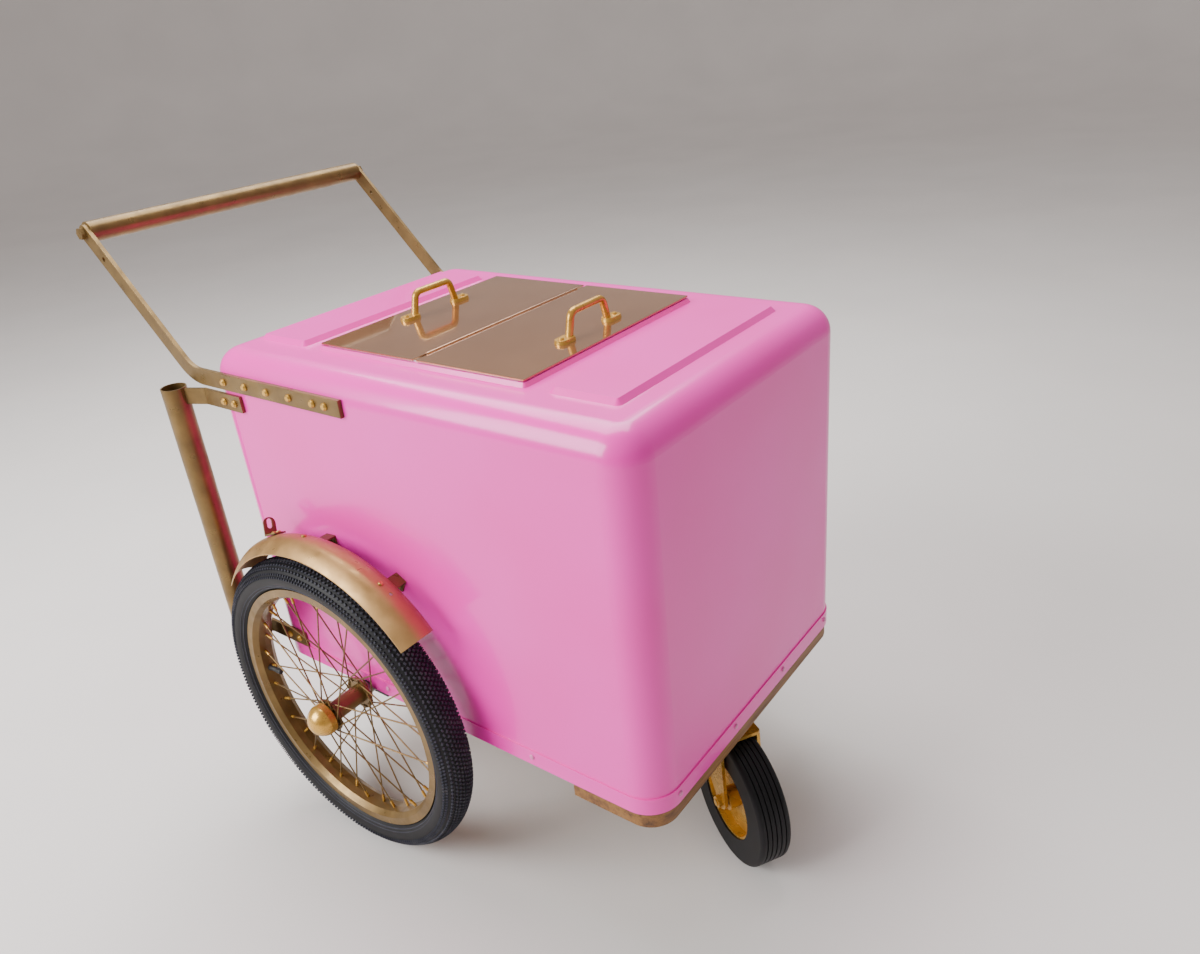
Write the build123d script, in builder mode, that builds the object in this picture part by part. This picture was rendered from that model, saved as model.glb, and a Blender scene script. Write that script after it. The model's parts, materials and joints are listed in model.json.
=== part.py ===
"""Push vending cart: an insulated fibreglass box on two spoked wheels and a front caster.

+X points forward, towards the caster; +Y to the cart's left; +Z up from the ground.
The origin is under the middle of the cart's overall length and width. Sizes are in millimetres.
"""
import os
from math import asin, atan, cos, degrees, radians, sin

from build123d import *

os.makedirs("parts", exist_ok=True)

# ---- Driving dimensions: body --------------------------------------------------------------
body_length = 763.0            # over the skirt band
body_width = 530.0             # over the skirt band
body_bottom_z = 257.0
body_top_z = 783.0
shell_wall = 5.0
shell_corner_radius = 45.0     # upright corners
shell_top_radius = 38.0        # rounded top edges
band_height = 25.0
band_thickness = 2.0
raised_panel_length = 104.0    # the two pads moulded into the top
raised_panel_width = 380.0
raised_panel_height = 7.0
rear_panel_middle = 96.0       # from the rear face
front_panel_middle = 647.0     # from the rear face
coaming_height = 5.5           # raised frame round the hatch
coaming_overhang = 4.0         # beyond the lids, each way
coaming_draft = 30.0           # degrees
opening_inset = 12.0           # hatch opening inside the lids' outline
opening_corner_radius = 22.0

# ---- Driving dimensions: tub, foam and base ------------------------------------------------
liner_wall = 2.0
liner_flange_thickness = 1.5
liner_flange_inset = 3.0       # inside the lids' outline
liner_gap = 0.5                # liner inside the shell's opening
foam_under_tub = 30.0
foam_side_gap = 10.0           # room for bolt ends inside the shell
foam_top_gap = 12.0            # under the shell's top
base_thickness = 12.0
base_gap = 0.3
board_length = 138.0           # plank under the front, which carries the caster
board_thickness = 26.0
board_inset = 4.0
board_corner_radius = 40.0

# ---- Driving dimensions: lids --------------------------------------------------------------
lid_length = 185.0             # along X
lid_width = 371.0
lid_thickness = 2.0
lid_seam = 5.4                 # between the two lids, over the hinge
lid_seam_from_rear = 370.0
lid_rest_gap = 0.3             # closed lid above the liner's flange
lid_plug_depth = 16.0
lid_plug_gap = 3.0             # round the plug
lid_seal_width = 2.0
lid_seal_depth = 4.0
divider_width = 24.0
divider_depth = 25.0
divider_drop = 1.9             # divider's top below the liner's flange
hinge_pin_diameter = 2.4
hinge_fit = 0.05               # radial
hinge_knuckle_diameter = 4.6
hinge_knuckle_length = 15.0
hinge_knuckle_gap = 0.4
hinge_leaf_thickness = 0.9
hinge_leaf_reach = 14.0
hinge_web_thickness = 1.7
pull_span = 104.0              # handle feet, middle to middle
pull_height = 40.0
pull_bar_diameter = 10.0
pull_foot_length = 34.0
pull_foot_width = 21.0
pull_foot_thickness = 5.0
pull_from_lid_edge = 42.0

# ---- Driving dimensions: running gear ------------------------------------------------------
wheel_from_rear = 213.0
wheel_track = 622.0            # between the two wheels' middle planes
tyre_radius = 254.0
tyre_width = 54.0
tyre_wall = 4.0
rim_radius = 209.5
rim_width = 38.0
rim_wall = 2.2
rim_depth = 19.0
rim_well_depth = 12.0
axle_diameter = 16.0
hub_flange_spacing = 60.0
hub_flange_diameter = 54.0
hub_flange_thickness = 3.0
hub_barrel_diameter = 30.0
hub_end_diameter = 34.0
hub_length = 72.0
hub_bore_diameter = 22.0
bearing_diameter = 28.0
bearing_width = 9.0
running_fit = 0.05             # radial, bearing on axle
side_gap = 0.3                 # between turning and standing faces
hub_cap_diameter = 50.0
hub_cap_length = 30.0
hub_cap_straight = 10.0
hub_cap_wall = 2.5
axle_nut_flats = 24.0
axle_nut_thickness = 9.0
axle_spacer_diameter = 22.0
spoke_count = 36
spoke_crossings = 3
spoke_diameter = 2.4
spoke_bend_radius = 1.6        # at the hub, along the spoke's middle
spoke_head_diameter = 4.3
spoke_head_thickness = 1.0
spoke_circle_diameter = 46.0
nipple_diameter = 4.4
nipple_length = 12.0
fender_centre_forward = 20.0    # the fender's own centre, from the axle
fender_centre_up = 34.0
fender_crown_radius = 262.0
fender_edge_radius = 246.0
fender_half_width = 29.0
fender_thickness = 1.5
fender_front_angle = 40.0      # degrees above forward, seen from the right
fender_rear_angle = 144.5
fender_bracket_angles = (60.5, 95.0)
fender_stay_angle = 116.0      # the slotted tab on top
fender_stay_offset = 9.0       # from the fender's middle, towards the body
fender_stay_width = 19.0
fender_stay_height = 28.0
fender_stay_foot = 30.0
fender_stay_screws = (10.0, 25.0)  # along the foot, from the tab
fender_bracket_width = 20.0
fender_bracket_thickness = 2.5
fender_screw_offset = 5.5      # from the fender's middle, towards the body
fender_foot_screw_step = 9.0
fender_foot_tip_step = 15.0
fender_spare_hole_angle = 56.0

# ---- Driving dimensions: chassis -----------------------------------------------------------
rail_size = 25.0
rail_wall = 2.0
rail_side_gap = 4.0            # inside the shell's side wall
rail_end_gap = 45.0
clamp_block_length = 60.0
clamp_block_height = 24.0
clamp_bolt_spread = 42.0
cross_flat_width = 15.0

# ---- Driving dimensions: caster ------------------------------------------------------------
kingpin_from_front = 72.0
caster_swivel_angle = -31.0    # degrees about Z; the wheel trails forward, to the right
caster_trail = 61.0
caster_radius = 103.0
caster_width = 50.0
caster_shoulder = 6.0
caster_rim_radius = 62.0
caster_hub_radius = 17.0
caster_disc_thickness = 14.0
caster_axle_diameter = 10.0
caster_plate_length = 100.0
caster_plate_width = 88.0
caster_plate_thickness = 5.0
caster_bolt_spacing_x = 78.0
caster_bolt_spacing_y = 66.0
caster_bolt_diameter = 8.0
caster_fork_gap = 3.5          # beside the wheel
caster_fork_thickness = 5.0
caster_fork_top_width = 46.0
caster_fork_bottom_width = 27.0
caster_crown_clearance = 4.0   # above the wheel
kingpin_diameter = 12.0
race_diameter = 62.0
race_pitch_diameter = 48.0
race_gap = 0.5
ball_diameter = 5.0
ball_count = 16
ball_clearance = 0.15

# ---- Driving dimensions: push handle and umbrella tube -------------------------------------
arm_width = 25.0
arm_thickness = 6.0
arm_z = 743.0
arm_front_from_rear = 306.0
arm_slope = 46.0               # degrees above the horizontal
arm_bend_radius = 60.0
arm_bolt_pitch = 50.6
arm_first_bolt = 49.0
arm_bolt_diameter = 6.0
arm_bolt_head_diameter = 11.0
arm_bolt_head_height = 4.0
arm_spare_hole_diameter = 7.0
arm_spare_hole_distance = 52.0
grip_setback = 225.0           # grip's axis behind the rear face
grip_z = 943.0
grip_diameter = 32.0
grip_wall = 2.0
tie_rod_diameter = 10.0
grip_plug_length = 15.0
tube_diameter = 38.0
tube_wall = 2.0
tube_setback = 64.0            # tube's axis behind the rear face
tube_side = 286.5              # tube's axis to the right of the cart's middle
tube_top_z = 725.0
tube_bottom_z = 243.0
tube_tip_height = 14.0
tube_cup_depth = 12.0          # rubber foot, up round the tube's end
tube_cup_wall = 2.5
strap_width = 25.0
strap_thickness = 5.0
strap_front_from_rear = 76.0
strap_kink_from_rear = 14.0    # the strap bends in to the body this far behind its rear face
strap_heights = (711.0, 296.0)
strap_bolt_places = (36.0, 61.0)
skirt_screw_pitch = 145.0
skirt_screw_height = 14.5      # above the body's bottom edge
skirt_screw_head_diameter = 8.0

# ---- Derived places ------------------------------------------------------------------------
swivel = radians(caster_swivel_angle)
caster_front_reach = ((caster_trail + caster_radius - caster_shoulder) * cos(swivel)
                      + (caster_width / 2 - caster_shoulder) * abs(sin(swivel)) + caster_shoulder)
kingpin_from_rear = body_length - kingpin_from_front
rearmost = -(grip_setback + grip_diameter / 2)
foremost = max(body_length, kingpin_from_rear + caster_front_reach)
rear_face_x = -(rearmost + foremost) / 2

body_x = rear_face_x + body_length / 2
shell_length = body_length - 2 * band_thickness
shell_width = body_width - 2 * band_thickness
shell_side_y = shell_width / 2
inner_length = shell_length - 2 * shell_wall
inner_width = shell_width - 2 * shell_wall
seam_x = rear_face_x + lid_seam_from_rear
lids_length = 2 * lid_length + lid_seam
coaming_top_z = body_top_z + coaming_height
flange_top_z = coaming_top_z + liner_flange_thickness
lid_bottom_z = flange_top_z + lid_rest_gap
lid_top_z = lid_bottom_z + lid_thickness
opening_length = lids_length - 2 * opening_inset
opening_width = lid_width - 2 * opening_inset
wheel_x = rear_face_x + wheel_from_rear
wheel_z = tyre_radius
rail_bottom_z = wheel_z + axle_diameter / 2
rail_y = inner_width / 2 - rail_side_gap - rail_size / 2
base_bottom_z = rail_bottom_z + rail_size
base_top_z = base_bottom_z + base_thickness
tub_floor_z = base_top_z + foam_under_tub
board_x = rear_face_x + body_length - board_inset - board_length / 2
board_bottom_z = body_bottom_z - board_thickness
kingpin_x = rear_face_x + kingpin_from_rear
plate_bottom_z = board_bottom_z - caster_plate_thickness
grip_x = rear_face_x - grip_setback
arm_bend_x = grip_x + (grip_z - arm_z) / sin(radians(arm_slope)) * cos(radians(arm_slope))
tube_x = rear_face_x - tube_setback


def save_part(builder, node):
    """Label a finished sub-part and write it as its own STEP file."""
    builder.part.label = node
    export_step(builder.part, f"parts/{node}.step")


def rounded_box(length, width, corner_radius, low_z, high_z, top_radius):
    """A box on the body's middle with rounded upright corners and rounded top edges."""
    with BuildPart() as box:
        with BuildSketch(Plane.XY.offset(low_z)):
            with Locations((body_x, 0)):
                RectangleRounded(length, width, corner_radius)
        extrude(amount=high_z - low_z)
        fillet(box.faces().sort_by(Axis.Z)[-1].edges(), top_radius)
    return box.part


def side_plane(x, z, sign, y=shell_side_y):
    """A plane on the body's side wall, facing outwards; sign is -1 for the right side."""
    return Plane(origin=(x, sign * y, z), x_dir=(1, 0, 0), z_dir=(0, sign, 0))


def dome_bolts(planes, shank_diameter, shank_length, head_diameter, head_height):
    """Dome-headed bolts, one on each plane, with the shank running into the plane."""
    with BuildPart() as bolts:
        for plane in planes:
            with BuildSketch(plane):
                Circle(shank_diameter / 2)
            extrude(amount=-shank_length)
            with BuildSketch(plane):
                Circle(head_diameter / 2)
            extrude(amount=head_height * 0.4)
            with BuildSketch(plane.offset(head_height * 0.4)):
                Circle(head_diameter / 2)
            extrude(amount=head_height * 0.6, taper=40)
    return bolts


def cut_holes(planes, diameter, depth):
    """Round holes through the current part, as deep on each side of each plane."""
    with Locations(*planes):
        Cylinder(diameter / 2, 2 * depth, mode=Mode.SUBTRACT)


# ---- Places of the fasteners on the body ---------------------------------------------------
bolt_hole_gap = 0.15
skirt_screw_z = body_bottom_z + skirt_screw_height
side_screw_xs = [rear_face_x + wheel_from_rear + skirt_screw_pitch * (k - 1) + 52 for k in range(4)]
front_screw_ys = [skirt_screw_pitch * (k - 1.5) for k in range(4)]
skirt_planes = [Plane(origin=(x, sign * body_width / 2, skirt_screw_z), x_dir=(1, 0, 0),
                      z_dir=(0, sign, 0)) for sign in (-1, 1) for x in side_screw_xs]
skirt_planes += [Plane(origin=(body_x + end * body_length / 2, y, skirt_screw_z), x_dir=(0, 1, 0),
                       z_dir=(end, 0, 0)) for end in (-1, 1) for y in front_screw_ys]
skirt_screw_diameter = 4.0
skirt_screw_reach = band_thickness + shell_wall + 1.5

arm_bolt_places = [arm_first_bolt + k * arm_bolt_pitch for k in range(5)]
arm_bolt_places.append(arm_bolt_places[-1] + arm_bolt_pitch / 2)
arm_bolt_planes = {sign: [side_plane(rear_face_x + place, arm_z, sign, shell_side_y + arm_thickness)
                          for place in arm_bolt_places] for sign in (-1, 1)}
strap_bolt_planes = [side_plane(rear_face_x + place, z, -1, shell_side_y + strap_thickness)
                     for z in strap_heights for place in strap_bolt_places]
fender_foot_radius = fender_edge_radius - 5.5
fender_bolt_radius = fender_foot_radius - 13.0
fender_x = wheel_x + fender_centre_forward
fender_z = wheel_z + fender_centre_up
fender_leg_y = shell_side_y + fender_bracket_thickness
fender_bolt_planes = {sign: [side_plane(fender_x + fender_bolt_radius * cos(radians(angle)),
                                        fender_z + fender_bolt_radius * sin(radians(angle)),
                                        sign, fender_leg_y)
                             for angle in fender_bracket_angles] for sign in (-1, 1)}

# ---- Body: outer shell ---------------------------------------------------------------------
shell_cavity = rounded_box(inner_length, inner_width, shell_corner_radius - shell_wall,
                           body_bottom_z - 1, body_top_z - shell_wall, shell_top_radius - shell_wall)
axle_notch_radius = axle_spacer_diameter / 2 + 2

with BuildPart() as outer_shell:
    add(rounded_box(shell_length, shell_width, shell_corner_radius, body_bottom_z, body_top_z,
                    shell_top_radius))
    with BuildSketch(Plane.XY.offset(body_top_z)):
        for place in (rear_panel_middle, front_panel_middle):
            with Locations((rear_face_x + place, 0)):
                RectangleRounded(raised_panel_length, raised_panel_width, 8)
    extrude(amount=raised_panel_height, taper=42)
    with BuildSketch(Plane.XY.offset(body_top_z)):
        with Locations((seam_x, 0)):
            RectangleRounded(lids_length + 2 * coaming_overhang, lid_width + 2 * coaming_overhang, 6)
    extrude(amount=coaming_height, taper=coaming_draft)
    add(shell_cavity, mode=Mode.SUBTRACT)
    with BuildSketch(Plane.XY.offset(coaming_top_z)):
        with Locations((seam_x, 0)):
            RectangleRounded(opening_length, opening_width, opening_corner_radius)
    extrude(amount=-(coaming_height + 2 * shell_wall), mode=Mode.SUBTRACT)
    with BuildSketch(Plane.XZ):
        with Locations((wheel_x, wheel_z)):
            Circle(axle_notch_radius)
    extrude(amount=body_width, both=True, mode=Mode.SUBTRACT)
    cut_holes(skirt_planes, skirt_screw_diameter + 2 * bolt_hole_gap, 3 * shell_wall)
    for sign in (-1, 1):
        cut_holes(arm_bolt_planes[sign], arm_bolt_diameter + 2 * bolt_hole_gap, 4 * shell_wall)
        cut_holes(fender_bolt_planes[sign], arm_bolt_diameter + 2 * bolt_hole_gap, 3 * shell_wall)
    cut_holes(strap_bolt_planes, arm_bolt_diameter + 2 * bolt_hole_gap, 4 * shell_wall)
save_part(outer_shell, "outer_shell")

with BuildPart() as skirt_band:
    with BuildSketch(Plane.XY.offset(body_bottom_z)):
        with Locations((body_x, 0)):
            RectangleRounded(body_length, body_width, shell_corner_radius + band_thickness)
            RectangleRounded(shell_length, shell_width, shell_corner_radius, mode=Mode.SUBTRACT)
    extrude(amount=band_height)
    with BuildSketch(Plane.XZ):
        with Locations((wheel_x, wheel_z)):
            Circle(axle_notch_radius)
    extrude(amount=body_width, both=True, mode=Mode.SUBTRACT)
    cut_holes(skirt_planes, skirt_screw_diameter + 2 * bolt_hole_gap, 2 * shell_wall)
save_part(skirt_band, "skirt_band")

# ---- Body: tub, foam, base and divider -----------------------------------------------------
liner_length = opening_length - 2 * liner_gap
liner_width = opening_width - 2 * liner_gap
liner_corner = opening_corner_radius - liner_gap
tub_length = liner_length - 2 * liner_wall
tub_width = liner_width - 2 * liner_wall

with BuildPart() as tub_liner:
    with BuildSketch(Plane.XY.offset(tub_floor_z)):
        with Locations((seam_x, 0)):
            RectangleRounded(liner_length, liner_width, liner_corner)
    extrude(amount=flange_top_z - tub_floor_z)
    with BuildSketch(Plane.XY.offset(coaming_top_z)):
        with Locations((seam_x, 0)):
            RectangleRounded(lids_length - 2 * liner_flange_inset,
                             lid_width - 2 * liner_flange_inset, opening_corner_radius / 2)
    extrude(amount=liner_flange_thickness)
    with BuildSketch(Plane.XY.offset(tub_floor_z + liner_wall)):
        with Locations((seam_x, 0)):
            RectangleRounded(tub_length, tub_width, liner_corner - liner_wall)
    extrude(amount=flange_top_z - tub_floor_z, mode=Mode.SUBTRACT)
save_part(tub_liner, "tub_liner")

with BuildPart() as foam_insulation:
    with BuildSketch(Plane.XY.offset(base_top_z)):
        with Locations((body_x, 0)):
            RectangleRounded(inner_length - 2 * foam_side_gap, inner_width - 2 * foam_side_gap,
                             shell_corner_radius - shell_wall - foam_side_gap)
    extrude(amount=body_top_z - shell_wall - foam_top_gap - base_top_z)
    with BuildSketch(Plane.XY.offset(tub_floor_z)):
        with Locations((seam_x, 0)):
            RectangleRounded(liner_length, liner_width, liner_corner)
    extrude(amount=body_top_z - tub_floor_z, mode=Mode.SUBTRACT)
save_part(foam_insulation, "foam_insulation")

with BuildPart() as base_panel:
    with BuildSketch(Plane.XY.offset(base_bottom_z)):
        with Locations((body_x, 0)):
            RectangleRounded(inner_length - 2 * base_gap, inner_width - 2 * base_gap,
                             shell_corner_radius - shell_wall - base_gap)
    extrude(amount=base_thickness)
    cut_holes(strap_bolt_planes, arm_bolt_diameter + 2 * bolt_hole_gap, 4 * shell_wall)
save_part(base_panel, "base_panel")

divider_top_z = flange_top_z - divider_drop
with BuildPart() as centre_divider:
    with BuildSketch(Plane.XY.offset(divider_top_z - divider_depth)):
        with Locations((seam_x, 0)):
            Rectangle(divider_width, tub_width)
    extrude(amount=divider_depth)
    chamfer(centre_divider.faces().sort_by(Axis.Z)[0].edges().filter_by(Axis.Y), 2)
save_part(centre_divider, "centre_divider")

# ---- Lids ----------------------------------------------------------------------------------
knuckle_pitch = hinge_knuckle_length + hinge_knuckle_gap
knuckle_total = int((tub_width - 4) // knuckle_pitch)
knuckle_start = -(knuckle_total * knuckle_pitch - hinge_knuckle_gap) / 2
hinge_bore_radius = hinge_pin_diameter / 2 + hinge_fit


def knuckle_plane(index):
    """The plane at the right-hand end of a knuckle, looking along +Y."""
    y = knuckle_start + index * knuckle_pitch
    return Plane(origin=(seam_x, y, lid_top_z), x_dir=(1, 0, 0), z_dir=(0, 1, 0))


def hinge_leaf(turn, direction):
    """Every third knuckle with its web and one leaf; direction is -1 for the rear lid."""
    web_depth = lid_thickness + hinge_leaf_thickness + 0.1
    web_start = hinge_web_thickness / 2 - 0.2
    web_end = hinge_knuckle_diameter / 2
    leaf_start = web_end - 0.1
    with BuildPart() as leaf:
        leaf_low_z = lid_bottom_z - 0.1 - hinge_leaf_thickness
        leaf_middle = seam_x + direction * (leaf_start + hinge_leaf_reach) / 2
        with BuildSketch(Plane.XY.offset(leaf_low_z)):
            with Locations((leaf_middle, 0)):
                Rectangle(hinge_leaf_reach - leaf_start, -2 * knuckle_start)
        extrude(amount=hinge_leaf_thickness)
        for index in range(turn, knuckle_total, 3):
            plane = knuckle_plane(index)
            # on this plane the sketch's +Y points down
            with BuildSketch(plane):
                Circle(hinge_knuckle_diameter / 2)
                with Locations((direction * (web_start + web_end) / 2, web_depth / 2)):
                    Rectangle(web_end - web_start, web_depth)
                Circle(hinge_bore_radius, mode=Mode.SUBTRACT)
            extrude(amount=hinge_knuckle_length)
    return leaf


with BuildPart() as hinge_centre_strip:
    strip_depth = lid_top_z - divider_top_z
    for index in range(0, knuckle_total, 3):
        with BuildSketch(knuckle_plane(index)):
            Circle(hinge_knuckle_diameter / 2)
            with Locations((0, strip_depth / 2)):
                Rectangle(hinge_web_thickness, strip_depth)
            Circle(hinge_bore_radius, mode=Mode.SUBTRACT)
        extrude(amount=hinge_knuckle_length)
save_part(hinge_centre_strip, "hinge_centre_knuckles")

with BuildPart() as hinge_pin:
    with BuildSketch(knuckle_plane(0)):
        Circle(hinge_pin_diameter / 2)
    extrude(amount=-2 * knuckle_start)
save_part(hinge_pin, "hinge_pin")


def pull_handle(x):
    """A cast bow handle with oval feet, its bar along Y."""
    leg_y = pull_span / 2 - pull_foot_length / 4
    bar_z = lid_top_z + pull_height - pull_bar_diameter / 2
    bar_half = leg_y - 9
    with BuildPart() as pull:
        with BuildSketch(Plane.XY.offset(lid_top_z)):
            with Locations((x, -pull_span / 2), (x, pull_span / 2)):
                SlotOverall(pull_foot_length, pull_foot_width, rotation=90)
        extrude(amount=pull_foot_thickness, taper=12)
        with BuildLine() as path:
            FilletPolyline((x, -leg_y, lid_top_z + 1), (x, -bar_half, bar_z), (x, bar_half, bar_z),
                           (x, leg_y, lid_top_z + 1), radius=11)
        with BuildSketch(Plane(origin=path.wire() @ 0, z_dir=path.wire() % 0)):
            Ellipse(pull_bar_diameter / 2, pull_bar_diameter / 2 * 1.1)
        sweep(path=path.wire())
        with BuildSketch(Plane.XY.offset(lid_top_z)):
            with Locations((x, 0)):
                Rectangle(4 * pull_foot_width, 2 * pull_span)
        extrude(amount=-pull_bar_diameter, mode=Mode.SUBTRACT)
        cut_holes(pull_screw_planes(x, pull_foot_thickness), 4 + 2 * bolt_hole_gap,
                  2 * pull_foot_thickness)
    return pull


def pull_screw_planes(x, height):
    """Planes on top of a handle's feet, facing up, at its two outer screws."""
    outer = pull_span / 2 + pull_foot_length / 2 - pull_foot_width / 2 + 1
    return [Plane(origin=(x, y, lid_top_z + height), z_dir=(0, 0, 1)) for y in (-outer, outer)]


def lid_set(name, direction, turn):
    """A lid's sheet panel, insulated plug, seal, pull handle, screws and hinge leaf."""
    lid_x = seam_x + direction * (lid_seam + lid_length) / 2
    pull_x = seam_x + direction * (lid_seam / 2 + lid_length - pull_from_lid_edge)
    screw_planes = pull_screw_planes(pull_x, pull_foot_thickness)
    with BuildPart() as panel:
        with BuildSketch(Plane.XY.offset(lid_bottom_z)):
            with Locations((lid_x, 0)):
                RectangleRounded(lid_length, lid_width, 1.5)
        extrude(amount=lid_thickness)
        chamfer(panel.faces().sort_by(Axis.Z)[-1].edges(), 0.5)
        cut_holes(screw_planes, 4 + 2 * bolt_hole_gap, 3 * pull_foot_thickness)
    save_part(panel, f"{name}_lid_panel")

    plug_inner = hinge_leaf_reach + 1.5
    plug_outer = tub_length / 2 - lid_plug_gap
    plug_x = seam_x + direction * (plug_inner + plug_outer) / 2
    plug_length = plug_outer - plug_inner
    plug_width = tub_width - 2 * lid_plug_gap
    with BuildPart() as plug:
        with BuildSketch(Plane.XY.offset(lid_bottom_z)):
            with Locations((plug_x, 0)):
                RectangleRounded(plug_length, plug_width, liner_corner - liner_wall - lid_plug_gap)
        extrude(amount=-lid_plug_depth)
        chamfer(plug.faces().sort_by(Axis.Z)[0].edges(), 2)
        cut_holes(screw_planes, 4 + 2 * bolt_hole_gap, 3 * pull_foot_thickness)
    save_part(plug, f"{name}_lid_plug")
    with BuildPart() as seal:
        with BuildSketch(Plane.XY.offset(lid_bottom_z)):
            with Locations((plug_x + direction * lid_seal_width / 4, 0)):
                RectangleRounded(plug_length + 1.5 * lid_seal_width, plug_width + 2 * lid_seal_width,
                                 liner_corner - liner_wall - lid_plug_gap + lid_seal_width)
            with Locations((plug_x, 0)):
                RectangleRounded(plug_length, plug_width,
                                 liner_corner - liner_wall - lid_plug_gap, mode=Mode.SUBTRACT)
        extrude(amount=-lid_seal_depth)
    save_part(seal, f"{name}_lid_seal")

    save_part(pull_handle(pull_x), f"{name}_lid_handle")
    screws = dome_bolts(screw_planes, 4, pull_foot_thickness + lid_thickness + 8, 7.5, 2.6)
    save_part(screws, f"{name}_handle_screws")
    save_part(hinge_leaf(turn, direction), f"{name}_hinge_leaf")


lid_set("rear", -1, 1)
lid_set("front", 1, 2)

# ---- Chassis under the floor ---------------------------------------------------------------
rail_length = inner_length - 2 * rail_end_gap
clamp_bolt_xs = [wheel_x - clamp_bolt_spread / 2, wheel_x + clamp_bolt_spread / 2]
board_bolt_xs = [board_x - board_length / 2 + cross_flat_width / 2 + 1,
                 board_x + board_length / 2 - cross_flat_width / 2 - 1]
board_bolt_xs = [min(x, body_x + rail_length / 2 - cross_flat_width / 2) for x in board_bolt_xs]
cross_flat_thickness = rail_bottom_z - body_bottom_z
clamp_bolt_diameter = 8.0
board_bolt_diameter = 6.0

with BuildPart() as chassis_frame:
    with BuildSketch(Plane.YZ.offset(body_x - rail_length / 2)):
        with Locations((-rail_y, rail_bottom_z + rail_size / 2), (rail_y, rail_bottom_z + rail_size / 2)):
            RectangleRounded(rail_size, rail_size, rail_wall)
            Rectangle(rail_size - 2 * rail_wall, rail_size - 2 * rail_wall, mode=Mode.SUBTRACT)
    extrude(amount=rail_length)
    with BuildSketch(Plane.XY.offset(body_bottom_z)):
        with Locations(*[(x, 0) for x in board_bolt_xs]):
            Rectangle(cross_flat_width, 2 * rail_y + rail_size)
    extrude(amount=cross_flat_thickness)
    with BuildSketch(Plane.XY.offset(body_bottom_z)):
        with Locations(*[(x, sign * rail_y) for x in board_bolt_xs for sign in (-1, 1)]):
            Circle(board_bolt_diameter / 2 + bolt_hole_gap)
        with Locations(*[(x, sign * rail_y) for x in clamp_bolt_xs for sign in (-1, 1)]):
            Circle(clamp_bolt_diameter / 2 + bolt_hole_gap)
    extrude(amount=cross_flat_thickness + rail_wall, mode=Mode.SUBTRACT)
save_part(chassis_frame, "chassis_frame")

with BuildPart() as clamp_blocks:
    with BuildSketch(Plane.XY.offset(rail_bottom_z - clamp_block_height)):
        with Locations((wheel_x, rail_y), (wheel_x, -rail_y)):
            Rectangle(clamp_block_length, rail_size)
            with Locations((-clamp_bolt_spread / 2, 0), (clamp_bolt_spread / 2, 0)):
                Circle(clamp_bolt_diameter / 2 + bolt_hole_gap, mode=Mode.SUBTRACT)
    extrude(amount=clamp_block_height)
    # a saddle, open at the top, so the axle lies against the rail
    with BuildSketch(Plane.XZ):
        with Locations((wheel_x, wheel_z)):
            Circle(axle_diameter / 2)
        with Locations((wheel_x, wheel_z + axle_diameter / 2)):
            Rectangle(axle_diameter, axle_diameter)
    extrude(amount=body_width, both=True, mode=Mode.SUBTRACT)
save_part(clamp_blocks, "axle_clamp_blocks")

with BuildPart() as caster_board:
    with BuildSketch(Plane.XY.offset(board_bottom_z)) as board_outline:
        with Locations((board_x, 0)):
            Rectangle(board_length, body_width - 2 * board_inset)
        fillet(board_outline.vertices().group_by(Axis.X)[-1], board_corner_radius)
        with Locations((kingpin_x, 0)):
            with GridLocations(caster_bolt_spacing_x, caster_bolt_spacing_y, 2, 2):
                Circle(caster_bolt_diameter / 2 + bolt_hole_gap, mode=Mode.SUBTRACT)
        with Locations(*[(x, sign * rail_y) for x in board_bolt_xs for sign in (-1, 1)]):
            Circle(board_bolt_diameter / 2 + bolt_hole_gap, mode=Mode.SUBTRACT)
    extrude(amount=board_thickness)
    chamfer(caster_board.faces().sort_by(Axis.Z)[0].outer_wire().edges(), 1.5)
save_part(caster_board, "caster_board")



def hex_bolt(x, y, head_z, grip, diameter, flats, thickness):
    """A hex bolt pointing up, its head under head_z and its nut above the gripped stack."""
    with BuildSketch(Plane(origin=(x, y, head_z))) as head:
        RegularPolygon(flats / 2, 6, major_radius=False)
    extrude(head.sketch, amount=-thickness)
    with BuildSketch(Plane(origin=(x, y, head_z))) as shank:
        Circle(diameter / 2)
    extrude(shank.sketch, amount=grip)
    with BuildSketch(Plane(origin=(x, y, head_z + grip))) as nut:
        RegularPolygon(flats / 2, 6, major_radius=False)
    extrude(nut.sketch, amount=thickness)


with BuildPart() as chassis_bolts:
    for sign in (-1, 1):
        for x in clamp_bolt_xs:
            hex_bolt(x, sign * rail_y, rail_bottom_z - clamp_block_height,
                     clamp_block_height + rail_wall, clamp_bolt_diameter, 13, 5.5)
        for x in board_bolt_xs:
            hex_bolt(x, sign * rail_y, board_bottom_z, board_thickness + cross_flat_thickness + rail_wall,
                     board_bolt_diameter, 10, 4)
        for x in (kingpin_x - caster_bolt_spacing_x / 2, kingpin_x + caster_bolt_spacing_x / 2):
            hex_bolt(x, sign * caster_bolt_spacing_y / 2, plate_bottom_z,
                     caster_plate_thickness + board_thickness, caster_bolt_diameter, 13, 5.5)
save_part(chassis_bolts, "chassis_bolts")

# ---- Axle and wheels -----------------------------------------------------------------------
wheel_y = wheel_track / 2
hub_outer_y = wheel_y + hub_length / 2
hub_inner_y = wheel_y - hub_length / 2
axle_end_y = hub_outer_y + side_gap + axle_nut_thickness + 4
axle_plane = Plane(origin=(wheel_x, 0, wheel_z), x_dir=(1, 0, 0), z_dir=(0, 1, 0))
wheel_axis = Axis((wheel_x, 0, wheel_z), (0, 1, 0))

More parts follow.
